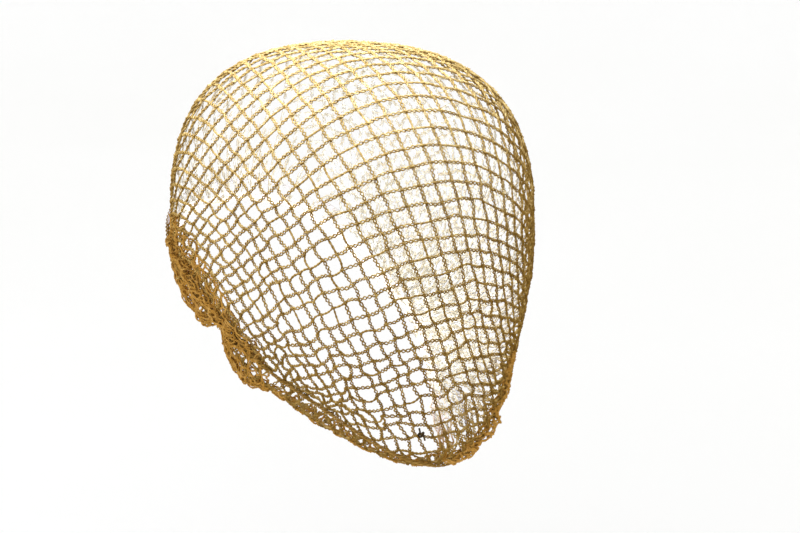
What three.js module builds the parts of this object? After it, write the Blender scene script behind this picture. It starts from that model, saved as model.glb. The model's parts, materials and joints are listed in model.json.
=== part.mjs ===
import * as THREE from 'three';

// A hairnet: one square of open netting, gathered to a round mouth by an edge cord.
// Sizes are millimetres and degrees. The wearer faces -Y and the wearer's left is +X.
// The origin is the inside of the crown, where the net rests when it is worn.

// The hollow that the net keeps, measured from its middle
const HALF_WIDTH = 72;
const HALF_LENGTH = 88;
const CROWN_HEIGHT = 86;
const LOWER_DEPTH = 86;
const SQUARENESS = 2.6; // 2 would be an ellipsoid

// The nape, where the net is drawn down and back
const NAPE_BACK = 68;
const NAPE_DROP = 113;
const NAPE_REACH = 33;
const NAPE_SHARPNESS = 13;

// The mouth lies in a plane that rises to the front
const MOUTH_TILT = 38;
const MOUTH_DROP = 50; // from the middle, square to the plane

// The netting: strands run from mouth to mouth in two families that cross at the net's own middle
const WALL = 2;
const NET_MIDDLE_TILT = 12; // behind the top of the crown
const NET_YAW = -22;
const NET_SKEW = 8; // how far the two families are pulled out of square
const FRONT_ARC = 157; // net's middle to the mouth, over the wall
const BACK_ARC = 246;
const SIDE_ARC = 189;
const EDGE_BAND = 13;
const GAP = 19.5;
const GAPS_ALONG = 12;
const GAPS_ACROSS = 11;
const CLOSED_CORNER = 2; // gaps left closed in each corner, counted along its two sides

// The frill past the cord: an arc that starts out from the wall and curls back in
const FRILL_REACH = 5.5;
const FRILL_FLARE = 55;
const FRILL_CURL = 120;
const FRILL_ROWS = 4;
const GATHERS = 24;
const GATHER_DEPTH = 1.2;
// Spare net hangs in lobes, and a notch parts the first two. They are placed round the mouth from the
// front towards the wearer's left.
const LOBES = [
  { name: 'left temple', round: 60, spread: 14, reach: 9 },
  { name: 'notch', round: 76.5, spread: 4.5, reach: -8.5 },
  { name: 'left ear', round: 94, spread: 12, reach: 13 },
  { name: 'left back', round: 130, spread: 34, reach: 20.5 },
  { name: 'nape', round: 204, spread: 16, reach: 7 },
  { name: 'right temple', round: 300, spread: 18, reach: 8 },
];

// The cord round the mouth and the knot of mending thread
const CORD_RADIUS = 1;
const CORD_ABOVE_MOUTH = 4;
const CORD_SEGMENTS = 120;
const CLEARANCE = 0.3;
const KNOT_ROUND = 162;
const KNOT_ABOVE_MOUTH = 24;
const KNOT_RADIUS = 1.3;
const KNOT_THREAD = 0.45;

const radians = THREE.MathUtils.degToRad;

function tilted(angle) {
  return new THREE.Vector3(0, Math.sin(radians(angle)), Math.cos(radians(angle)));
}

const MIDDLE = new THREE.Vector3(0, 0, -CROWN_HEIGHT);
const NAPE_WAY = new THREE.Vector3(0, NAPE_BACK, -NAPE_DROP).normalize();
const MOUTH_AXIS = tilted(MOUTH_TILT);
const POLE = tilted(NET_MIDDLE_TILT);
const FORE = tilted(NET_MIDDLE_TILT - 90);
const LEFT = new THREE.Vector3(1, 0, 0);

// How far the wall's inside lies from the middle in a direction
function hollowRadius(way) {
  const depth = way.z > 0 ? CROWN_HEIGHT : LOWER_DEPTH;
  const squared = Math.abs(way.x / HALF_WIDTH) ** SQUARENESS
    + Math.abs(way.y / HALF_LENGTH) ** SQUARENESS
    + Math.abs(way.z / depth) ** SQUARENESS;
  const nape = Math.max(0, way.dot(NAPE_WAY)) ** NAPE_SHARPNESS;
  return squared ** (-1 / SQUARENESS) + NAPE_REACH * nape;
}

// A point of the wall's inside: polar angle from the net's middle, and angle round from the front
function wallPoint(polar, round) {
  const way = POLE.clone().multiplyScalar(Math.cos(polar));
  way.addScaledVector(FORE, Math.sin(polar) * Math.cos(round));
  way.addScaledVector(LEFT, Math.sin(polar) * Math.sin(round));
  return way.multiplyScalar(hollowRadius(way)).add(MIDDLE);
}

// The polar angle at which the wall meets the plane of the mouth, by halving
function mouthPolar(round) {
  let above = 0.3;
  let below = 3;
  for (let step = 0; step < 40; step += 1) {
    const polar = (above + below) / 2;
    const height = wallPoint(polar, round).sub(MIDDLE).dot(MOUTH_AXIS);
    if (height > -MOUTH_DROP) above = polar;
    else below = polar;
  }
  return (above + below) / 2;
}

// Where a place on the square net goes: its share of the way to the mouth, and the angle round
function gathered(fore, side) {
  const x = fore * Math.sqrt(1 - side * side / 2);
  const y = side * Math.sqrt(1 - fore * fore / 2);
  const flat = Math.atan2(y, x);
  const round = flat + radians(NET_YAW) + radians(NET_SKEW) * Math.cos(2 * flat);
  return { share: Math.hypot(x, y), round };
}

// A point of the wall a distance above the mouth, with its directions down the wall and outwards
function rimFrame(round, aboveMouth) {
  const edge = mouthPolar(round);
  const polar = edge - aboveMouth / wallPoint(edge, round).distanceTo(MIDDLE);
  const point = wallPoint(polar, round);
  const down = wallPoint(polar + 0.01, round).sub(wallPoint(polar - 0.01, round)).normalize();
  const along = wallPoint(polar, round + 0.01).sub(wallPoint(polar, round - 0.01)).normalize();
  const out = new THREE.Vector3().crossVectors(down, along).normalize();
  if (out.dot(point.clone().sub(MIDDLE)) < 0) out.negate();
  return { point, down, out };
}

function frillReach(round) {
  const lobes = LOBES.map((lobe) => {
    const away = THREE.MathUtils.euclideanModulo(round - radians(lobe.round) + Math.PI, 2 * Math.PI) - Math.PI;
    return lobe.reach * Math.exp(-((away / radians(lobe.spread)) ** 2));
  });
  return FRILL_REACH + lobes.reduce((total, reach) => total + reach, 0);
}

// A point of the frill, share 0 at the mouth and 1 at the free edge
function frillPoint(round, share) {
  const { point, down, out } = rimFrame(round, 0);
  const flare = radians(FRILL_FLARE);
  const curl = radians(FRILL_CURL);
  const turned = flare - curl * share;
  const reach = frillReach(round);
  const fold = GATHER_DEPTH * share * Math.cos(GATHERS * round);
  point.addScaledVector(down, reach * (Math.sin(flare) - Math.sin(turned)) / curl);
  return point.addScaledVector(out, reach * (Math.cos(turned) - Math.cos(flare)) / curl + fold);
}

// Places of the strands' edges along one family, as shares from -1 to 1, and which spans are gaps
function strandSpans(gaps, backArc, frontArc) {
  const strand = (backArc + frontArc - 2 * EDGE_BAND - gaps * GAP) / (gaps - 1);
  const widths = [{ width: EDGE_BAND, gap: -1 }];
  for (let gap = 0; gap < gaps; gap += 1) {
    widths.push({ width: GAP / 2, gap });
    widths.push({ width: GAP / 2, gap });
    widths.push({ width: gap < gaps - 1 ? strand : EDGE_BAND, gap: -1 });
  }
  let place = -backArc;
  const shares = [-1];
  widths.forEach((span) => {
    place += span.width;
    shares.push(Math.min(1, place < 0 ? place / backArc : place / frontArc));
  });
  return { shares, gaps: widths.map((span) => span.gap) };
}

// The net as one sheet of four-sided faces, with the gaps left out and the frill round its border
function netSheet() {
  const along = strandSpans(GAPS_ALONG, BACK_ARC, FRONT_ARC);
  const across = strandSpans(GAPS_ACROSS, SIDE_ARC, SIDE_ARC);
  const columns = across.shares.length;
  const rows = along.shares.length;
  const points = [];
  const rounds = [];
  along.shares.forEach((fore) => {
    across.shares.forEach((side) => {
      const { share, round } = gathered(fore, side);
      points.push(wallPoint(share * mouthPolar(round), round));
      rounds.push(round);
    });
  });
  const isOpen = (row, column) => {
    const a = along.gaps[row];
    const b = across.gaps[column];
    if (a < 0 || b < 0) return false;
    const fromCorner = Math.min(a, GAPS_ALONG - 1 - a) + Math.min(b, GAPS_ACROSS - 1 - b);
    return fromCorner >= CLOSED_CORNER;
  };
  const faces = [];
  for (let row = 0; row < rows - 1; row += 1) {
    for (let column = 0; column < columns - 1; column += 1) {
      const corner = row * columns + column;
      if (!isOpen(row, column)) faces.push([corner, corner + columns, corner + columns + 1, corner + 1]);
    }
  }
  const border = [];
  for (let row = 0; row < rows - 1; row += 1) border.push(row * columns);
  for (let column = 0; column < columns - 1; column += 1) border.push((rows - 1) * columns + column);
  for (let row = rows - 1; row > 0; row -= 1) border.push(row * columns + columns - 1);
  for (let column = columns - 1; column > 0; column -= 1) border.push(column);
  let inner = border;
  for (let row = 1; row <= FRILL_ROWS; row += 1) {
    const outer = inner.map((_, place) => points.length + place);
    border.forEach((corner) => points.push(frillPoint(rounds[corner], row / FRILL_ROWS)));
    for (let place = 0; place < border.length; place += 1) {
      const next = (place + 1) % border.length;
      faces.push([inner[place], outer[place], outer[next], inner[next]]);
    }
    inner = outer;
  }
  return { points, faces };
}

// A closed wall from a sheet: the sheet is its inside, and every free edge is closed
function wallFromSheet({ points, faces }, thickness) {
  const normals = points.map(() => new THREE.Vector3());
  const edges = new Map();
  faces.forEach((face) => {
    const [a, b, c, d] = face.map((corner) => points[corner]);
    const normal = new THREE.Vector3().crossVectors(c.clone().sub(a), d.clone().sub(b)).normalize();
    face.forEach((corner, place) => {
      normals[corner].add(normal);
      const next = face[(place + 1) % 4];
      const reverse = `${next},${corner}`;
      if (edges.has(reverse)) edges.delete(reverse);
      else edges.set(`${corner},${next}`, [corner, next]);
    });
  });
  const count = points.length;
  const outside = points.map((point, place) => point.clone().addScaledVector(normals[place].normalize(), thickness));
  const triangles = [];
  const addFace = (a, b, c, d) => triangles.push(a, b, c, a, c, d);
  faces.forEach(([a, b, c, d]) => {
    addFace(a + count, b + count, c + count, d + count);
    addFace(d, c, b, a);
  });
  edges.forEach(([a, b]) => addFace(a, b, b + count, a + count));
  const geometry = new THREE.BufferGeometry().setFromPoints([...points, ...outside]);
  geometry.setIndex(triangles);
  return geometry;
}

// The cord lies on the outside of the wall, just above the frill
function edgeCord() {
  const places = [];
  for (let step = 0; step < CORD_SEGMENTS; step += 1) {
    const { point, out } = rimFrame(2 * Math.PI * step / CORD_SEGMENTS, CORD_ABOVE_MOUTH);
    places.push(point.addScaledVector(out, WALL + CLEARANCE + CORD_RADIUS));
  }
  const route = new THREE.CatmullRomCurve3(places, true);
  return new THREE.TubeGeometry(route, CORD_SEGMENTS, CORD_RADIUS, 8, true);
}

// An overhand knot of thread, flat against the outside of the wall
function mendKnot() {
  const { point, out } = rimFrame(radians(KNOT_ROUND), KNOT_ABOVE_MOUTH);
  const geometry = new THREE.TorusKnotGeometry(KNOT_RADIUS, KNOT_THREAD, 48, 6);
  geometry.computeBoundingBox();
  const lift = WALL + CLEARANCE - geometry.boundingBox.min.z;
  geometry.applyQuaternion(new THREE.Quaternion().setFromUnitVectors(new THREE.Vector3(0, 0, 1), out));
  const seat = point.addScaledVector(out, lift);
  return geometry.translate(seat.x, seat.y, seat.z);
}

function piece(name, geometry, colour) {
  geometry.computeVertexNormals();
  const mesh = new THREE.Mesh(geometry, new THREE.MeshStandardMaterial({ color: colour }));
  mesh.name = name;
  return mesh;
}

const hairnet = new THREE.Group();
hairnet.add(piece('net', wallFromSheet(netSheet(), WALL), 0xa5834a));
hairnet.add(piece('edge_cord', edgeCord(), 0x6f5628));
hairnet.add(piece('mend_knot', mendKnot(), 0x2a241f));

export default hairnet;
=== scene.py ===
import json
import math

import bmesh
import bpy
import numpy as np
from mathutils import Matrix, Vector

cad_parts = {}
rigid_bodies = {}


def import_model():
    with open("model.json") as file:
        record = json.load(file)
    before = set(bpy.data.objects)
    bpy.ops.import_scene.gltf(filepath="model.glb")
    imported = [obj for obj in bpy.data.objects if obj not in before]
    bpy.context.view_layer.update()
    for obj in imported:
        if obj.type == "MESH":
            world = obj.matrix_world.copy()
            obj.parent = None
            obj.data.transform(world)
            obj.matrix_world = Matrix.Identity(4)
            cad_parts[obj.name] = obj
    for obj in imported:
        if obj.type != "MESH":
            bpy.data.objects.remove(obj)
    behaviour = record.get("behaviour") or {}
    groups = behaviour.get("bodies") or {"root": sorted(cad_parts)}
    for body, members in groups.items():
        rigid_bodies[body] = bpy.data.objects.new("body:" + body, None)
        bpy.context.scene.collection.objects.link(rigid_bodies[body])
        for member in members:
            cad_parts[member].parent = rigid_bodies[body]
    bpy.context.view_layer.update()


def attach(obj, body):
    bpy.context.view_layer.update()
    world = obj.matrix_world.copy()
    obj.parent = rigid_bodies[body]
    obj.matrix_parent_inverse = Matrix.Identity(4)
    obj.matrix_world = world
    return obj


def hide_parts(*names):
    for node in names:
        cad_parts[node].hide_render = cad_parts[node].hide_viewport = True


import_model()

# The view
# A long lens looks from behind the wearer's left shoulder, a little above the net.
# The net hangs left of the picture's middle and a little high, so the aim is moved across and down.
VIEW_AZIMUTH = math.radians(130)
VIEW_ELEVATION = math.radians(12)
VIEW_DISTANCE = 0.9
VIEW_CENTRE = Vector((0, 0, -0.088))
AIM_ACROSS = 0.0244
AIM_DOWN = 0.0203
LENS_MM = 82.2
SENSOR_MM = 36

view_back = Vector((
    math.sin(VIEW_AZIMUTH) * math.cos(VIEW_ELEVATION),
    -math.cos(VIEW_AZIMUTH) * math.cos(VIEW_ELEVATION),
    math.sin(VIEW_ELEVATION),
))
view_right = Vector((math.cos(VIEW_AZIMUTH), math.sin(VIEW_AZIMUTH), 0))
view_up = view_back.cross(view_right)
aim = VIEW_CENTRE + AIM_ACROSS * view_right - AIM_DOWN * view_up
camera = bpy.data.objects.new("camera", bpy.data.cameras.new("camera"))
camera.data.lens = LENS_MM
camera.data.sensor_width = SENSOR_MM
camera.location = aim + VIEW_DISTANCE * view_back
camera.rotation_mode = "QUATERNION"
camera.rotation_quaternion = (-view_back).to_track_quat("-Z", "Y")
bpy.context.scene.collection.objects.link(camera)
bpy.context.scene.camera = camera

# The net
# One square of netting in soft golden cotton. Each strand is two threads twisted loosely together, so
# small eyelets show along it, and the two families of strands are locked where they cross. It is drawn
# over the crown and in to a round mouth, and its spare meshes stand past the mouth as a frill.
MM = 0.001

# The hollow and its mouth, in millimetres and degrees
HALF_WIDTH = 72
HALF_LENGTH = 88
CROWN_HEIGHT = 86
LOWER_DEPTH = 86
SQUARENESS = 2.6
NAPE_BACK = 68
NAPE_DROP = 113
NAPE_REACH = 33
NAPE_SHARPNESS = 13
MOUTH_TILT = 38
MOUTH_DROP = 50
POLE_TILT = 12
WALL = 2

# The search for the mouth, as angles from the pole, and the step that slopes are measured over
HIGHEST_MOUTH = 0.3
LOWEST_MOUTH = 3.0
MOUTH_HALVINGS = 40
MOUTH_SAMPLES = 721
SMALL_STEP = 0.01
NEARLY_SIDEWAYS = 0.8
TINY = 1e-9

# The frill past the mouth, in millimetres, with each lobe's place round the mouth in degrees
FRILL_REACH = 5.5
LEAST_REACH = 0.5
FRILL_FLARE = math.radians(55)
FRILL_CURL = math.radians(120)
LOBES = [
    {"name": "left temple", "round": 60, "spread": 13, "reach": 6.8},
    {"name": "notch", "round": 76, "spread": 4, "reach": -21},
    {"name": "left ear", "round": 88.5, "spread": 11, "reach": 16},
    {"name": "left back", "round": 130, "spread": 34, "reach": 20.5},
    {"name": "nape", "round": 204, "spread": 16, "reach": 7},
    {"name": "right temple", "round": 300, "spread": 18, "reach": 8},
]

# The lie of the strands, in meshes and in radians about the middle of the square: the rows sway and
# crowd towards the nape, and the columns are drawn down over the left temple
SHEET_RISE = math.radians(50)
SHEET_ROUND = math.radians(120)
ROW_TURN = math.radians(-70)
COLUMN_TURN = math.radians(35.5)
ROWS_PER_RADIAN = 10.9
COLUMNS_PER_RADIAN = 10.4
ROWS_BACK = 27
ROWS_FORE = 29
COLUMNS_BACK = 17
COLUMNS_FORE = 30
FARTHEST_POLAR = 2.95
ROW_SWAY = 1
SWAY_RATE = 2
NAPE_CROWDING = 7
CROWDED_FROM = 1.2
MOST_CROWDED = 0.6
TEMPLE_FROM = 0.6
TEMPLE_SPAN = 1.6
TEMPLE_HEIGHT = 0.1
TEMPLE_DROP = 3.2
TEMPLE_FAN = 5.5
SETTLING_ROUNDS = 25

# The strays of the crossings and the bows of the strands between them, in millimetres, with the shares
# of a bow and the angle it stands at in radians
MESH_SIDE = 8.3
SIDE_STEPS = 8
SLACK_DEPTH = 160
NODE_STRAY = 0.45
SLACK_STRAY = 1
STRAY_SPREAD = 0.6
STRAY_OUT = 0.4
RIPPLE = 1.3
RIPPLE_WAVES = [
    {"per_column": 1.3, "per_row": 0.5, "shift": 0},
    {"per_column": 0.6, "per_row": -1.1, "shift": 2},
]
LEAST_CHORD = 0.5
LEAST_BOW = 0.15
MOST_BOW = 0.7
SLACK_BOW = 0.8
LEAST_BOW_SHARE = 0.3
RISING_SHARE = 0.3
MOST_BOW_STAND = 0.7
CROSSING_LIFT = 0.3

# The two threads of a strand and the locks, in millimetres and in turns for each side of a mesh
TURNS_LEAST = 1.6
TURNS_MOST = 2.1
PAIR_HALF_WIDTH = 0.8
PAIR_HALF_DEPTH = 0.35
PAIR_PINCH = 0.55
PAIR_LEAST = 0.8
PAIR_MOST = 1.1
EDGE_ON_SHARE = 0.12
EDGE_ON_WIDTH = 0.35
EYELET_ROUNDNESS = 0.6
THREAD_RADIUS = 0.37
LOCK_RADIUS = 0.75
LOCK_STEPS = 5

# The dye, and the sizes of its patches, its mottle and the plies. Plies of 0.2 mm are too fine to show,
# so they are drawn 0.5 mm apart.
THREAD_GOLD = "#8e6c30"
THREAD_DEEP = "#6c4f1c"
THREAD_PALE = "#ad8c46"
DYE_PATCH = 28
DYE_MOTTLE = 2.5
PLY_SPACING = 0.5
PLY_HEIGHT = 0.1

# Every random draw of the script comes from this one seeded source
rng = np.random.default_rng(11)


def tilted(degrees):
    """A way in the middle plane, so many degrees back from straight up."""
    return np.array((0, math.sin(math.radians(degrees)), math.cos(math.radians(degrees))))


def unit(vectors):
    """Each vector at a length of 1."""
    return vectors / np.maximum(np.linalg.norm(vectors, axis=-1, keepdims=True), TINY)


HOLLOW_MIDDLE = np.array((0, 0, -CROWN_HEIGHT))
NAPE_WAY = unit(np.array((0, NAPE_BACK, -NAPE_DROP)))
MOUTH_AXIS = tilted(MOUTH_TILT)
POLE = tilted(POLE_TILT)
FORE = tilted(POLE_TILT - 90)
LEFT = np.array((1, 0, 0))
DOWN = np.array((0, 0, -1))


def hollow_radius(way):
    """How far the inside of the wall is from the hollow's middle: a rounded box with a pointed nape."""
    depth = np.where(way[..., 2] > 0, CROWN_HEIGHT, LOWER_DEPTH)
    reach = np.abs(way[..., 0] / HALF_WIDTH) ** SQUARENESS
    reach = reach + np.abs(way[..., 1] / HALF_LENGTH) ** SQUARENESS
    reach = reach + np.abs(way[..., 2] / depth) ** SQUARENESS
    nape = np.maximum(way @ NAPE_WAY, 0) ** NAPE_SHARPNESS
    return reach ** (-1 / SQUARENESS) + NAPE_REACH * nape


def wall_point(polar, around):
    """A place of the wall, by its angle from the pole and its angle round from the front to the left."""
    way = np.cos(polar)[..., None] * POLE
    way = way + (np.sin(polar) * np.cos(around))[..., None] * FORE
    way = way + (np.sin(polar) * np.sin(around))[..., None] * LEFT
    return HOLLOW_MIDDLE + way * hollow_radius(way)[..., None]


def wall_out(points):
    """The way straight out of the wall, square to two short edges along it."""
    way = unit(points - HOLLOW_MIDDLE)
    helper = np.where(np.abs(way[..., :1]) > NEARLY_SIDEWAYS, POLE, LEFT)
    first = unit(np.cross(way, helper))
    second = np.cross(way, first)
    edges = []
    for aside in (first, second):
        ahead = unit(way + SMALL_STEP * aside)
        behind = unit(way - SMALL_STEP * aside)
        edges.append(ahead * hollow_radius(ahead)[..., None] - behind * hollow_radius(behind)[..., None])
    out = unit(np.cross(edges[0], edges[1]))
    return np.where((out * way).sum(-1, keepdims=True) < 0, -out, out)


def mouth_polar_by_halving(around):
    """The angle from the pole at which the wall meets the tilted plane of the mouth."""
    above = np.full(around.shape, HIGHEST_MOUTH)
    below = np.full(around.shape, LOWEST_MOUTH)
    for _ in range(MOUTH_HALVINGS):
        polar = (above + below) / 2
        inside = (wall_point(polar, around) - HOLLOW_MIDDLE) @ MOUTH_AXIS > -MOUTH_DROP
        above = np.where(inside, polar, above)
        below = np.where(inside, below, polar)
    return (above + below) / 2


MOUTH_ROUND = np.linspace(0, 2 * math.pi, MOUTH_SAMPLES)
MOUTH_POLAR = mouth_polar_by_halving(MOUTH_ROUND)


def mouth_polar(around):
    """The angle of the mouth from the pole, read between its samples."""
    return np.interp(around % (2 * math.pi), MOUTH_ROUND, MOUTH_POLAR)


def rim_frame(around, above_mouth):
    """A place of the wall some way above the mouth, the way down the wall, and the way out of it."""
    edge = mouth_polar(around)
    polar = edge - above_mouth / np.linalg.norm(wall_point(edge, around) - HOLLOW_MIDDLE, axis=-1)
    down = unit(wall_point(polar + SMALL_STEP, around) - wall_point(polar - SMALL_STEP, around))
    point = wall_point(polar, around)
    return point, down, wall_out(point)


def frill_reach(around):
    """The frill's length from the mouth to its free edge. In the notch it is drawn up above the mouth."""
    reach = np.full(around.shape, FRILL_REACH)
    for lobe in LOBES:
        away = (around - math.radians(lobe["round"]) + math.pi) % (2 * math.pi) - math.pi
        reach = reach + lobe["reach"] * np.exp(-((away / math.radians(lobe["spread"])) ** 2))
    return reach


def frill_point(around, share):
    """A place past the mouth, share 0 at the mouth and 1 at the free edge, and the way out there."""
    point, down, out = rim_frame(around, 0)
    turned = FRILL_FLARE - FRILL_CURL * share
    fall = frill_reach(around) * (math.sin(FRILL_FLARE) - np.sin(turned)) / FRILL_CURL
    stand = frill_reach(around) * (np.cos(turned) - math.cos(FRILL_FLARE)) / FRILL_CURL
    place = point + fall[..., None] * down + stand[..., None] * out
    return place, np.cos(turned)[..., None] * out - np.sin(turned)[..., None] * down


SHEET_OUT = np.array((
    math.cos(SHEET_RISE) * math.sin(SHEET_ROUND),
    -math.cos(SHEET_RISE) * math.cos(SHEET_ROUND),
    math.sin(SHEET_RISE),
))
SHEET_RIGHT = np.array((math.cos(SHEET_ROUND), math.sin(SHEET_ROUND), 0))
SHEET_TOP = np.cross(SHEET_OUT, SHEET_RIGHT)
MESH_LIE = np.linalg.inv(np.array((
    (ROWS_PER_RADIAN * math.cos(ROW_TURN), ROWS_PER_RADIAN * math.sin(ROW_TURN)),
    (COLUMNS_PER_RADIAN * math.cos(COLUMN_TURN), COLUMNS_PER_RADIAN * math.sin(COLUMN_TURN)),
)))


def net_point(row, column):
    """Places counted in meshes from the sheet's middle, the way out there, and which are on the net."""
    even_row = row
    even_column = column
    for _ in range(SETTLING_ROUNDS):
        x = MESH_LIE[0, 0] * even_row + MESH_LIE[0, 1] * even_column
        y = MESH_LIE[1, 0] * even_row + MESH_LIE[1, 1] * even_column
        along_row = y * math.cos(ROW_TURN) - x * math.sin(ROW_TURN)
        across_rows = x * math.cos(ROW_TURN) + y * math.sin(ROW_TURN)
        crowded = np.clip(across_rows - CROWDED_FROM, 0, MOST_CROWDED)
        even_row = row - ROW_SWAY * np.sin(SWAY_RATE * along_row) - NAPE_CROWDING * crowded ** 2
        temple = np.clip((-x - TEMPLE_FROM) / TEMPLE_SPAN, 0, 1)
        temple = temple ** 2 * (3 - 2 * temple)
        even_column = column - temple * (TEMPLE_DROP + TEMPLE_FAN * (y - TEMPLE_HEIGHT))
    polar = np.hypot(x, y)
    aside = np.sinc(polar / math.pi)
    way = np.cos(polar)[..., None] * SHEET_OUT
    way = way + (aside * x)[..., None] * SHEET_RIGHT + (aside * y)[..., None] * SHEET_TOP
    points = HOLLOW_MIDDLE + way * hollow_radius(way)[..., None]
    around = np.arctan2(way @ LEFT, way @ FORE)
    past_mouth = (np.arccos(np.clip(way @ POLE, -1, 1)) - mouth_polar(around)) * hollow_radius(way)
    share = past_mouth / np.maximum(frill_reach(around), LEAST_REACH)
    frill, frill_out = frill_point(around, np.clip(share, 0, 1))
    on_frill = (share > 0)[..., None]
    points = np.where(on_frill, frill, points)
    out = np.where(on_frill, frill_out, wall_out(points))
    return points + WALL / 2 * out, out, (share < 1) & (polar < FARTHEST_POLAR)


def slackness(points):
    """From 0 at the crown, where the net is drawn tight, to 1 at the mouth, where it is slack."""
    return np.clip(-points[..., 2] / SLACK_DEPTH, 0, 1) ** 2


def twisted_pairs(points, out, shifts, lifts, spread=1):
    """Two threads for each strand.

    Points and out are given strand by step, shifts and lifts strand by crossing.
    """
    strands, steps, _ = points.shape
    sides = shifts.shape[1] - 1
    side_steps = (steps - 1) // sides
    step = np.arange(steps)
    side = np.minimum(step // side_steps, sides - 1)
    along = step / side_steps - side
    hump = np.sin(math.pi * along)

    # The middle line of the strand goes from crossing to crossing
    near = (1 - along)[None, :, None]
    far = along[None, :, None]
    lift = (lifts[:, side] * near[..., 0] + lifts[:, side + 1] * far[..., 0])[..., None]
    centre = points + shifts[:, side] * near + shifts[:, side + 1] * far + out * lift

    # A side of a mesh that is longer than its span bows like half a wave, mostly downwards
    crossings = centre[:, ::side_steps]
    chord = np.maximum(np.linalg.norm(np.diff(crossings, axis=1), axis=-1), LEAST_CHORD)
    spare = 2 / math.pi * chord * np.sqrt(np.maximum(MESH_SIDE / chord - 1, 0))
    most_bow = MOST_BOW + SLACK_BOW * slackness(crossings[:, 1:])
    bow = np.minimum(spare, most_bow) * rng.uniform(LEAST_BOW_SHARE, 1, chord.shape)
    bow = bow + LEAST_BOW * rng.random(chord.shape)
    sideways = unit(np.cross(out, np.gradient(centre, axis=1)))
    falls = np.sign(sideways[:, side_steps // 2::side_steps] @ DOWN)
    falls = np.where(rng.random(chord.shape) < RISING_SHARE, -falls, falls)
    stand = rng.uniform(0, MOST_BOW_STAND, chord.shape)
    bend = (bow[:, side] * hump)[..., None]
    centre = centre + bend * sideways * (falls * np.cos(stand))[:, side][..., None]
    centre = centre + bend * out * np.sin(stand)[:, side][..., None]

    # The two threads twist round the middle line, pinched together at the crossings
    sideways = unit(np.cross(out, np.gradient(centre, axis=1)))
    turns = rng.uniform(TURNS_LEAST, TURNS_MOST, chord.shape)
    begun = np.cumsum(turns, axis=1) - turns + rng.random((strands, 1))
    angle = 2 * math.pi * (begun[:, side] + turns[:, side] * along)
    edge_on = rng.random(chord.shape) < EDGE_ON_SHARE
    width = np.where(edge_on, EDGE_ON_WIDTH, rng.uniform(PAIR_LEAST, PAIR_MOST, chord.shape))
    width = spread * width[:, side] * (PAIR_PINCH + (1 - PAIR_PINCH) * hump ** EYELET_ROUNDNESS)
    offset = sideways * (PAIR_HALF_WIDTH * width * np.cos(angle))[..., None]
    offset = offset + out * (PAIR_HALF_DEPTH * width * np.sin(angle))[..., None]
    return np.concatenate((centre + offset, centre - offset))


# The near half of the net begins 8 mm behind the hollow's middle, as the view sees it
NEAR_FROM = -8


def halves(name, kept, points):
    """The kept places of a piece in two halves, the one turned to the view and the one behind it."""
    near = (points - HOLLOW_MIDDLE) @ np.array(view_back) > NEAR_FROM
    return [(f"{name}_near", kept & near), (f"{name}_far", kept & ~near)]


SCRAP_STEPS = 2


def cut_out(threads, kept):
    """The kept stretches of each thread, without short scraps.

    Each stretch has one step more, so that neighbours meet.
    """
    routes = []
    for thread, kept_steps in zip(threads, kept):
        ends = np.flatnonzero(np.diff(np.concatenate(([0], kept_steps, [0]))))
        for begin, end in zip(ends[::2], ends[1::2]):
            if end - begin > SCRAP_STEPS:
                routes.append(thread[begin:end + 1])
    return routes


def thread_mesh(name, routes, radius, resolution=0, closed=False):
    """One mesh of threads, each along its route of points in millimetres.

    At resolution 0 a thread has four sides, which smooth shading makes look round at its size.
    """
    curve = bpy.data.curves.new(name, "CURVE")
    curve.dimensions = "3D"
    curve.bevel_depth = radius * MM
    curve.bevel_resolution = resolution
    curve.use_fill_caps = True
    for route in routes:
        spline = curve.splines.new("POLY")
        spline.points.add(len(route) - 1)
        places = np.ones((len(route), 4))
        places[:, :3] = route * MM
        spline.points.foreach_set("co", places.ravel())
        spline.use_cyclic_u = closed
    carrier = bpy.data.objects.new(name, curve)
    bpy.context.scene.collection.objects.link(carrier)
    evaluated = carrier.evaluated_get(bpy.context.evaluated_depsgraph_get())
    mesh = bpy.data.meshes.new_from_object(evaluated)
    bpy.data.objects.remove(carrier)
    bpy.data.curves.remove(curve)
    mesh.name = name
    mesh.shade_smooth()
    return mesh


def linear(hex_colour):
    """An sRGB hex colour as linear red, green, blue and alpha."""
    channels = [int(hex_colour[place:place + 2], 16) / 255 for place in (1, 3, 5)]
    return [c / 12.92 if c <= 0.04045 else ((c + 0.055) / 1.055) ** 2.4 for c in channels] + [1]


def add_node(owner, kind, settings=None, values=None, links=None):
    """One node in the tree of a material or a light, with its settings, its values and its links."""
    node = owner.node_tree.nodes.new(kind)
    for name, value in (settings or {}).items():
        setattr(node, name, value)
    for socket, value in (values or {}).items():
        node.inputs[socket].default_value = value
    for socket, source in (links or {}).items():
        owner.node_tree.links.new(source, node.inputs[socket])
    return node


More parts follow.
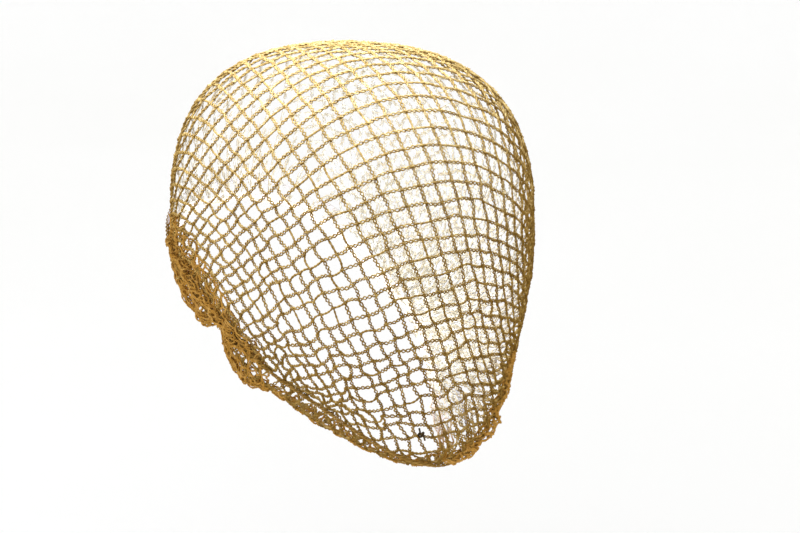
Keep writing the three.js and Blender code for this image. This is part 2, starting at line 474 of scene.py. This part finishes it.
def twisted_cotton(name, colour, deep, pale):
    """Spun cotton thread: matt, because its fuzz scatters the light, and dyed unevenly along its length.

    The lie of its plies is a fine bump.
    """
    material = bpy.data.materials.new(name)
    material.use_nodes = True
    material.node_tree.nodes.clear()
    place = add_node(material, "ShaderNodeTexCoord").outputs["Object"]
    patches = add_node(
        material, "ShaderNodeTexNoise",
        values={"Scale": 1 / (DYE_PATCH * MM), "Detail": 2}, links={"Vector": place},
    )
    mottle = add_node(
        material, "ShaderNodeTexNoise",
        values={"Scale": 1 / (DYE_MOTTLE * MM), "Detail": 3}, links={"Vector": place},
    )
    dyed = add_node(
        material, "ShaderNodeMix", settings={"data_type": "RGBA"},
        values={"A": linear(deep), "B": linear(colour)}, links={"Factor": patches.outputs["Fac"]},
    )
    lights = add_node(
        material, "ShaderNodeMapRange",
        values={"From Min": 0.45, "From Max": 0.75}, links={"Value": mottle.outputs["Fac"]},
    )
    threads = add_node(
        material, "ShaderNodeMix", settings={"data_type": "RGBA"}, values={"B": linear(pale)},
        links={"Factor": lights.outputs["Result"], "A": dyed.outputs["Result"]},
    )
    plies = add_node(
        material, "ShaderNodeTexNoise",
        values={"Scale": 1 / (PLY_SPACING * MM), "Detail": 1}, links={"Vector": place},
    )
    bump = add_node(
        material, "ShaderNodeBump",
        values={"Strength": 0.6, "Distance": PLY_HEIGHT * MM}, links={"Height": plies.outputs["Fac"]},
    )
    cotton = add_node(
        material, "ShaderNodeBsdfPrincipled",
        values={"Roughness": 0.9, "Specular IOR Level": 0},
        links={"Base Color": threads.outputs["Result"], "Normal": bump.outputs["Normal"]},
    )
    add_node(material, "ShaderNodeOutputMaterial", links={"Surface": cotton.outputs["BSDF"]})
    return material


def add_piece(name, mesh, material, node):
    """One piece of the hairnet, which stands for a solid of the frame."""
    mesh.materials.append(material)
    piece = bpy.data.objects.new(name, mesh)
    bpy.context.scene.collection.objects.link(piece)
    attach(piece, "root")
    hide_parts(node)


golden_cotton = twisted_cotton("golden twisted cotton", THREAD_GOLD, THREAD_DEEP, THREAD_PALE)
row_numbers = np.arange(-ROWS_BACK, ROWS_FORE + 1)
column_numbers = np.arange(-COLUMNS_BACK, COLUMNS_FORE + 1)
row_steps = np.linspace(-ROWS_BACK, ROWS_FORE, (ROWS_BACK + ROWS_FORE) * SIDE_STEPS + 1)
column_steps = np.linspace(-COLUMNS_BACK, COLUMNS_FORE, (COLUMNS_BACK + COLUMNS_FORE) * SIDE_STEPS + 1)

# Every crossing strays a little from its even place, more where the net is slack
row_index, column_index = np.meshgrid(row_numbers, column_numbers, indexing="ij")
crossings, crossing_out, on_net_crossing = net_point(row_index, column_index)
row_way = unit(np.gradient(crossings, axis=1))
column_way = unit(np.gradient(crossings, axis=0))
slack = slackness(crossings)[..., None]
stray = (NODE_STRAY + SLACK_STRAY * slack) * rng.normal(0, STRAY_SPREAD, crossings.shape)
shifts = stray[..., :1] * row_way + stray[..., 1:2] * column_way
shifts = shifts + STRAY_OUT * np.abs(stray[..., 2:]) * crossing_out
ripple = np.zeros(row_index.shape)
for wave in RIPPLE_WAVES:
    phase = wave["per_column"] * column_index + wave["per_row"] * row_index + wave["shift"]
    ripple = ripple + np.sin(phase)
shifts = shifts + RIPPLE * slack * ripple[..., None] * column_way
over = CROSSING_LIFT * (1 - 2 * (np.indices(shifts.shape[:2]).sum(axis=0) % 2))

# Rows and columns pass over and under each other by turns
families = [
    {"name": "net_rows", "shifts": shifts, "lifts": over,
     "places": np.meshgrid(row_numbers, column_steps, indexing="ij")},
    {"name": "net_columns", "shifts": shifts.swapaxes(0, 1), "lifts": -over.T,
     "places": np.meshgrid(row_steps, column_numbers)},
]
for family in families:
    points, out, on_net = net_point(*family["places"])
    threads = twisted_pairs(points, out, family["shifts"], family["lifts"])
    for name, kept in halves(family["name"], on_net, points):
        mesh = thread_mesh(name, cut_out(threads, np.tile(kept, (2, 1))), THREAD_RADIUS)
        add_piece(name, mesh, golden_cotton, "net")

# One turn of thread locks the two strands at every crossing
lock_turn = np.linspace(0, 2 * math.pi, LOCK_STEPS, endpoint=False)[:, None]
for name, kept in halves("net_locks", on_net_crossing, crossings):
    lock_side = unit(row_way + column_way)[kept][:, None]
    lock_out = crossing_out[kept][:, None]
    locks = (crossings + shifts)[kept][:, None]
    locks = locks + LOCK_RADIUS * (np.cos(lock_turn) * lock_side + np.sin(lock_turn) * lock_out)
    add_piece(name, thread_mesh(name, locks, THREAD_RADIUS, closed=True), golden_cotton, "net")

# The hem and the bunches
# The free edge of the net is rolled into a dense hem. At the left temple and the left ear more of the
# same netting is crowded into folds, which lie on the net above the mouth and hang in the two lobes.
# Crowded threads pass light on from one to the next, so the same cotton is painted warmer and paler there:
# painted light that stands for the light passed on.
HEM_SHARES = [0.42, 0.5, 0.56, 0.61, 0.66, 0.72, 0.86, 1]
BACK_HEM_SHARES = [0.57, 0.61, 0.65, 0.69, 0.85, 1]
THIN_HEM_SHARES = [0.45, 0.62, 0.75, 0.88, 1]
BUNCH_SHARES = [-1, -0.8, -0.6, -0.4, -0.2, 0.05, 0.3, 0.5, 0.7, 0.95]
GATHERS = [
    {"name": "hem_left", "first": 28, "last": 112, "above": 0, "reach": 1, "set_in": 0,
     "fold": 0.2, "folds": 31, "columns": 27, "shares": HEM_SHARES},
    {"name": "hem_back", "first": 112, "last": 190, "above": 0, "reach": 1, "set_in": 0,
     "fold": 0.2, "folds": 31, "columns": 24, "shares": BACK_HEM_SHARES},
    {"name": "hem_right", "first": 190, "last": 388, "above": 0, "reach": 1, "set_in": 0,
     "fold": 0.2, "folds": 31, "columns": 38, "shares": THIN_HEM_SHARES},
    {"name": "bunch_outer", "first": 28, "last": 102, "above": 26, "reach": 0.9, "set_in": 0.8,
     "fold": 1, "folds": 37, "columns": 30, "shares": BUNCH_SHARES},
    {"name": "bunch_inner", "first": 32, "last": 100, "above": 18, "reach": 0.75, "set_in": 2,
     "fold": 1, "folds": 43, "columns": 22, "shares": BUNCH_SHARES},
]
GATHER_SIDE_STEPS = 5
FOLD_DEPTH = 0.8
FOLD_DEPTH_SHARE = 0.06
FOLD_ASIDE = 0.6
FOLD_UNEVENNESS = 1.4
UNEVEN_RATE = 7
ROUND_STEP = 0.004
SHARE_STEP = 0.02
GATHER_STRAY = 0.5
GATHER_SPREAD = 0.65
GATHER_THREAD = 0.33
# The thread's colours made paler and warmer for the crowded pieces: painted light, for the light that
# crowded threads pass on
CROWDED_GOLD_PAINTED_LIGHT = "#c69443"
CROWDED_DEEP_PAINTED_LIGHT = "#a2762f"
CROWDED_PALE_PAINTED_LIGHT = "#d6aa5e"


def gathered_surface(gather, around, share):
    """A place in the gathered net. A share below 0 lies on the wall above the mouth."""
    bulge = np.sin(math.pi * (np.degrees(around) - gather["first"]) / (gather["last"] - gather["first"]))
    lying, lying_down, lying_out = rim_frame(around, gather["above"] * bulge * np.maximum(-share, 0))
    hanging, hanging_out = frill_point(around, gather["reach"] * np.maximum(share, 0))
    hangs = (share > 0)[..., None]
    point = np.where(hangs, hanging, lying)
    out = np.where(hangs, hanging_out, lying_out)
    wave = gather["folds"] * around + gather["set_in"] + FOLD_UNEVENNESS * np.sin(UNEVEN_RATE * around)
    fold = gather["fold"] * np.abs(share) * (FOLD_DEPTH + FOLD_DEPTH_SHARE * frill_reach(around))
    stand = WALL / 2 - gather["set_in"] * np.maximum(share, 0) + fold * np.sin(wave)
    aside = FOLD_ASIDE * fold * np.sin(2 * wave)
    return point + out * stand[..., None] + np.cross(lying_down, lying_out) * aside[..., None]


def gathered_point(gather, around, share):
    """A place in the gathered net and the way out of its folds there."""
    ahead = gathered_surface(gather, around + ROUND_STEP, share)
    ahead = ahead - gathered_surface(gather, around - ROUND_STEP, share)
    below = gathered_surface(gather, around, share + SHARE_STEP)
    below = below - gathered_surface(gather, around, share - SHARE_STEP)
    return gathered_surface(gather, around, share), unit(np.cross(below, ahead))


# The hem, the bunches and the rolls wear this paler, warmer copy of the golden cotton, which is painted
# light
crowded_cotton_painted_light = twisted_cotton("crowded golden cotton, painted light", CROWDED_GOLD_PAINTED_LIGHT, CROWDED_DEEP_PAINTED_LIGHT, CROWDED_PALE_PAINTED_LIGHT)
for gather in GATHERS:
    first = math.radians(gather["first"])
    last = math.radians(gather["last"])
    rounds = np.linspace(first, last, gather["columns"] + 1)
    shares = np.array(gather["shares"])
    round_steps = np.linspace(first, last, gather["columns"] * GATHER_SIDE_STEPS + 1)
    share_places = np.linspace(0, len(shares) - 1, (len(shares) - 1) * GATHER_SIDE_STEPS + 1)
    share_steps = np.interp(share_places, np.arange(len(shares)), shares)
    shifts = rng.normal(0, GATHER_STRAY, (len(shares), len(rounds), 3))
    lifts = np.zeros(shifts.shape[:2])
    round_grid, share_grid = np.meshgrid(round_steps, shares)
    rows = twisted_pairs(*gathered_point(gather, round_grid, share_grid), shifts, lifts, GATHER_SPREAD)
    share_grid, round_grid = np.meshgrid(share_steps, rounds)
    columns = twisted_pairs(
        *gathered_point(gather, round_grid, share_grid), shifts.swapaxes(0, 1), lifts.T, GATHER_SPREAD
    )
    mesh = thread_mesh(gather["name"], [*rows, *columns], GATHER_THREAD)
    add_piece(gather["name"], mesh, crowded_cotton_painted_light, "net")

# The rolled folds
# Where most net is gathered it has rolled up on itself: above the left ear, where the mouth is drawn in
# hardest, and in an uneven fold that runs up from the nape and thins out. The folds lie loose on the net.
ROLLS = [
    {"name": "left_roll", "rings": 30, "lines": 8, "stand": 0.25, "route": [
        {"round": 42, "above_mouth": 5, "half": 1.2},
        {"round": 56, "above_mouth": 9, "half": 2.6},
        {"round": 70, "above_mouth": 10, "half": 3.2},
        {"round": 84, "above_mouth": 6.5, "half": 2.8},
        {"round": 98, "above_mouth": 3, "half": 1.5},
    ]},
    {"name": "nape_roll", "rings": 26, "lines": 7, "stand": -0.2, "route": [
        {"round": 176, "above_mouth": 8, "half": 1.2},
        {"round": 181, "above_mouth": 15, "half": 2.7},
        {"round": 182, "above_mouth": 22, "half": 2.2},
        {"round": 187, "above_mouth": 29, "half": 2.8},
        {"round": 186.5, "above_mouth": 36, "half": 1.5},
        {"round": 191, "above_mouth": 44, "half": 1.5},
        {"round": 190.5, "above_mouth": 51, "half": 0.7},
        {"round": 194, "above_mouth": 58, "half": 0.4},
    ]},
]
ROLL_LUMPS = [
    {"height": 0.22, "waves_along": 41, "waves_round": 2},
    {"height": 0.18, "waves_along": 17, "waves_round": 1},
]
ROLL_STRAY = 0.5


def roll_point(roll, along, turn):
    """A place on a lumpy roll, by its share of the route and its turn round it, and the way out there."""
    route = roll["route"]
    stops = np.linspace(0, 1, len(route))
    around = np.radians(np.interp(along, stops, [stop["round"] for stop in route]))
    above_mouth = np.interp(along, stops, [stop["above_mouth"] for stop in route])
    half = np.interp(along, stops, [stop["half"] for stop in route])
    point, down, out = rim_frame(around, above_mouth)
    around_way = np.cross(out, down)
    way = np.cos(turn)[..., None] * out + np.sin(turn)[..., None] * around_way
    lumps = np.ones(along.shape)
    for lump in ROLL_LUMPS:
        lumps = lumps + lump["height"] * np.sin(lump["waves_along"] * along + lump["waves_round"] * turn)
    return point + (WALL + roll["stand"] * half)[..., None] * out + (half * lumps)[..., None] * way, way


for roll in ROLLS:
    alongs = np.linspace(0, 1, roll["rings"] + 1)
    turns = np.linspace(0, 2 * math.pi, roll["lines"] + 1)
    along_steps = np.linspace(0, 1, roll["rings"] * GATHER_SIDE_STEPS + 1)
    turn_steps = np.linspace(0, 2 * math.pi, roll["lines"] * GATHER_SIDE_STEPS + 1)
    shifts = rng.normal(0, ROLL_STRAY, (len(turns), len(alongs), 3))
    shifts[-1] = shifts[0]
    lifts = np.zeros(shifts.shape[:2])
    along_grid, turn_grid = np.meshgrid(along_steps, turns[:-1])
    lines = twisted_pairs(*roll_point(roll, along_grid, turn_grid), shifts[:-1], lifts[:-1], GATHER_SPREAD)
    turn_grid, along_grid = np.meshgrid(turn_steps, alongs)
    rings = twisted_pairs(
        *roll_point(roll, along_grid, turn_grid), shifts.swapaxes(0, 1), lifts.T, GATHER_SPREAD
    )
    # The rolls wear the copy of the cotton with painted light
    mesh = thread_mesh(roll["name"], [*lines, *rings], GATHER_THREAD)
    add_piece(roll["name"], mesh, crowded_cotton_painted_light, "net")

# The edge cord
# Three plies of golden brown cotton laid up into one cord, which draws the mouth in. It lies on the
# outside of the net just above the frill and goes all the way round, held by the meshes it passes.
CORD_RADIUS = 1
CORD_ABOVE_MOUTH = 4
CORD_CLEARANCE = 0.3
CORD_PLIES = 3
CORD_PLY_RADIUS = 0.4
CORD_LAY = 8
CORD_STEPS = 720
CORD_BROWN = "#a27d3c"
CORD_DEEP = "#80602a"
CORD_PALE = "#b89350"

cord_rounds = np.linspace(0, 2 * math.pi, CORD_STEPS + 1)
cord_point, cord_down, cord_out = rim_frame(cord_rounds, CORD_ABOVE_MOUTH)
cord_point = cord_point + (WALL + CORD_CLEARANCE + CORD_RADIUS) * cord_out
cord_length = np.linalg.norm(np.diff(cord_point, axis=0), axis=-1).sum()
cord_turns = round(cord_length / CORD_LAY)
cord_swing = CORD_RADIUS - CORD_PLY_RADIUS
cord_plies = []
for ply in range(CORD_PLIES):
    lay = (cord_turns * cord_rounds + 2 * math.pi * ply / CORD_PLIES)[:, None]
    cord_plies.append(cord_point + cord_swing * (np.cos(lay) * cord_down + np.sin(lay) * cord_out))
brown_cotton = twisted_cotton("brown laid cotton cord", CORD_BROWN, CORD_DEEP, CORD_PALE)
for name, kept in halves("edge_cord", np.full(len(cord_point), True), cord_point):
    cord_mesh = thread_mesh(name, cut_out(cord_plies, [kept] * CORD_PLIES), CORD_PLY_RADIUS)
    add_piece(name, cord_mesh, brown_cotton, "edge_cord")

# The mending knot
# A short piece of dark brown thread, tied by hand in one overhand knot on a strand near the nape.
# Both of its ends are cut off short, one just above the knot and one just below it.
KNOT_ROUND = math.radians(162)
KNOT_ABOVE_MOUTH = 24
KNOT_RADIUS = 1.5
KNOT_DEPTH = 0.4
KNOT_OPENING = 0.35
KNOT_THREAD = 0.46
KNOT_STEPS = 60
UPPER_END = {"steps": 12, "reach": (1.4, -2.4, -0.5)}
LOWER_END = {"steps": 8, "reach": (-1.5, 2.4, 0.3)}
END_BEGINS = 0.1
KNOT_BROWN = "#4a3b28"
KNOT_DEEP = "#2c2115"
KNOT_PALE = "#6a5636"

turn = np.linspace(KNOT_OPENING, 2 * math.pi - KNOT_OPENING, KNOT_STEPS)
knot = KNOT_RADIUS * np.stack((
    (np.sin(turn) + 2 * np.sin(2 * turn)) / 3,
    (np.cos(turn) - 2 * np.cos(2 * turn)) / 3,
    -KNOT_DEPTH * np.sin(3 * turn),
), axis=-1)
upper_shares = np.linspace(1, END_BEGINS, UPPER_END["steps"])[:, None]
lower_shares = np.linspace(END_BEGINS, 1, LOWER_END["steps"])[:, None]
upper_end = knot[0] + upper_shares * np.array(UPPER_END["reach"])
lower_end = knot[-1] + lower_shares * np.array(LOWER_END["reach"])
knot_route = np.concatenate((upper_end, knot, lower_end))
knot_point, knot_down, knot_out = rim_frame(np.array(KNOT_ROUND), KNOT_ABOVE_MOUTH)
knot_axes = np.stack((np.cross(knot_down, knot_out), knot_down, knot_out))
knot_seat = knot_point + (WALL / 2 + PAIR_HALF_DEPTH + KNOT_THREAD) * knot_out
dark_cotton = twisted_cotton("dark mending cotton", KNOT_BROWN, KNOT_DEEP, KNOT_PALE)
knot_mesh = thread_mesh("mend_knot_thread", [knot_seat + knot_route @ knot_axes], KNOT_THREAD, resolution=1)
add_piece("mend_knot_thread", knot_mesh, dark_cotton, "mend_knot")

# The floor
# Plain pale studio paper, swept up into a wall all round so that every view has the same ground.
# Matt paper has no shine, and only the faintest clouds show on it.
FLOOR_HEIGHT = -0.32
FLOOR_RADIUS = 2.2
FLOOR_SIDES = 64
SWEEP_RADIUS = 0.8
SWEEP_POINTS = 9
WALL_TOP = 0.9
MERGE_DISTANCE = 1e-5
PAPER_CLOUD = 0.5
PAPER_WHITE = "#fefefe"
PAPER_SHADE = "#fbfbfa"

floor_form = bmesh.new()
profile = [floor_form.verts.new((0, 0, FLOOR_HEIGHT))]
for bend in np.linspace(0, math.pi / 2, SWEEP_POINTS):
    across = FLOOR_RADIUS + SWEEP_RADIUS * math.sin(bend)
    height = FLOOR_HEIGHT + SWEEP_RADIUS * (1 - math.cos(bend))
    profile.append(floor_form.verts.new((across, 0, height)))
profile.append(floor_form.verts.new((FLOOR_RADIUS + SWEEP_RADIUS, 0, WALL_TOP)))
edges = [floor_form.edges.new(pair) for pair in zip(profile, profile[1:])]
bmesh.ops.spin(
    floor_form, geom=profile + edges, cent=(0, 0, 0), axis=(0, 0, 1),
    angle=2 * math.pi, steps=FLOOR_SIDES, use_merge=True,
)
bmesh.ops.remove_doubles(floor_form, verts=floor_form.verts, dist=MERGE_DISTANCE)
floor_mesh = bpy.data.meshes.new("floor")
floor_form.to_mesh(floor_mesh)
floor_form.free()
floor_mesh.shade_smooth()
paper = bpy.data.materials.new("matt studio paper")
paper.use_nodes = True
paper.node_tree.nodes.clear()
paper_place = add_node(paper, "ShaderNodeTexCoord").outputs["Object"]
paper_cloud = add_node(
    paper, "ShaderNodeTexNoise", values={"Scale": 1 / PAPER_CLOUD}, links={"Vector": paper_place}
)
paper_colour = add_node(
    paper, "ShaderNodeMix", settings={"data_type": "RGBA"},
    values={"A": linear(PAPER_WHITE), "B": linear(PAPER_SHADE)},
    links={"Factor": paper_cloud.outputs["Fac"]},
)
paper_face = add_node(
    paper, "ShaderNodeBsdfPrincipled",
    values={"Roughness": 0.95}, links={"Base Color": paper_colour.outputs["Result"]},
)
add_node(paper, "ShaderNodeOutputMaterial", links={"Surface": paper_face.outputs["BSDF"]})
floor_mesh.materials.append(paper)
floor = bpy.data.objects.new("floor", floor_mesh)
bpy.context.scene.collection.objects.link(floor)

# The light
# A small cool lamp close over the crown and a soft one high on the wearer's left light the open net
# alone, a weak lamp beside the view lights every piece, and the sky is even and pale. A lamp in the
# hollow, without shadows, lights only the far half, so the far wall stays paler than the near one.
LAMPS = [
    {"name": "crown lamp", "place": (0.045, 0.03, 0.105), "size": 0.2, "power": 4.6,
     "colour": "#98b0ff", "on": "net"},
    {"name": "upper lamp", "place": (0.4, -0.45, 0.3), "size": 0.6, "power": 13,
     "colour": "#b4c4ff", "on": "net"},
    {"name": "view lamp", "place": (1.4, 0.2, -0.05), "size": 1.2, "power": 7,
     "colour": "#d4dcff", "on": "all"},
]
HOLLOW_FORWARD = 0.055
HOLLOW_POWER = 1400
HOLLOW_COLOUR = "#5c7cff"
HOLLOW_CONE = math.radians(130)
HOLLOW_EDGE = 0.6
LIT_INSIDE = ["net_rows_far", "net_columns_far", "net_locks_far", "hem_right", "edge_cord_far"]
SKY_COLOUR = "#fbfbfa"
SKY_STRENGTH = 1.05

net_only = bpy.data.collections.new("net only")
for piece in bpy.context.scene.objects:
    if piece.name.startswith("net_"):
        net_only.objects.link(piece)
for lamp in LAMPS:
    light = bpy.data.lights.new(lamp["name"], "AREA")
    light.size = lamp["size"]
    light.energy = lamp["power"]
    light.color = linear(lamp["colour"])[:3]
    holder = bpy.data.objects.new(lamp["name"], light)
    holder.location = lamp["place"]
    holder.rotation_mode = "QUATERNION"
    holder.rotation_quaternion = (VIEW_CENTRE - holder.location).to_track_quat("-Z", "Y")
    holder.visible_camera = False
    bpy.context.scene.collection.objects.link(holder)
    if lamp["on"] == "net":
        holder.light_linking.receiver_collection = net_only

# The hollow lamp looks the same way as the camera, and its light doesn't weaken with distance
hollow_light = bpy.data.lights.new("hollow lamp", "SPOT")
hollow_light.spot_size = HOLLOW_CONE
hollow_light.spot_blend = HOLLOW_EDGE
hollow_light.energy = HOLLOW_POWER
hollow_light.color = linear(HOLLOW_COLOUR)[:3]
hollow_light.use_shadow = False
hollow_light.use_nodes = True
even_reach = add_node(hollow_light, "ShaderNodeLightFalloff", values={"Strength": 1}).outputs["Constant"]
hollow_glow = hollow_light.node_tree.nodes["Emission"]
hollow_light.node_tree.links.new(even_reach, hollow_glow.inputs["Strength"])
hollow_lamp = bpy.data.objects.new("hollow lamp", hollow_light)
hollow_lamp.location = VIEW_CENTRE + HOLLOW_FORWARD * view_back
hollow_lamp.rotation_mode = "QUATERNION"
hollow_lamp.rotation_quaternion = camera.rotation_quaternion
hollow_lamp.visible_camera = False
bpy.context.scene.collection.objects.link(hollow_lamp)
far_wall = bpy.data.collections.new("far wall")
for name in LIT_INSIDE:
    far_wall.objects.link(bpy.data.objects[name])
hollow_lamp.light_linking.receiver_collection = far_wall

sky = bpy.data.worlds.new("sky")
sky.use_nodes = True
sky_light = sky.node_tree.nodes["Background"]
sky_light.inputs["Color"].default_value = linear(SKY_COLOUR)
sky_light.inputs["Strength"].default_value = SKY_STRENGTH
bpy.context.scene.world = sky
bpy.context.scene.view_settings.view_transform = "Standard"
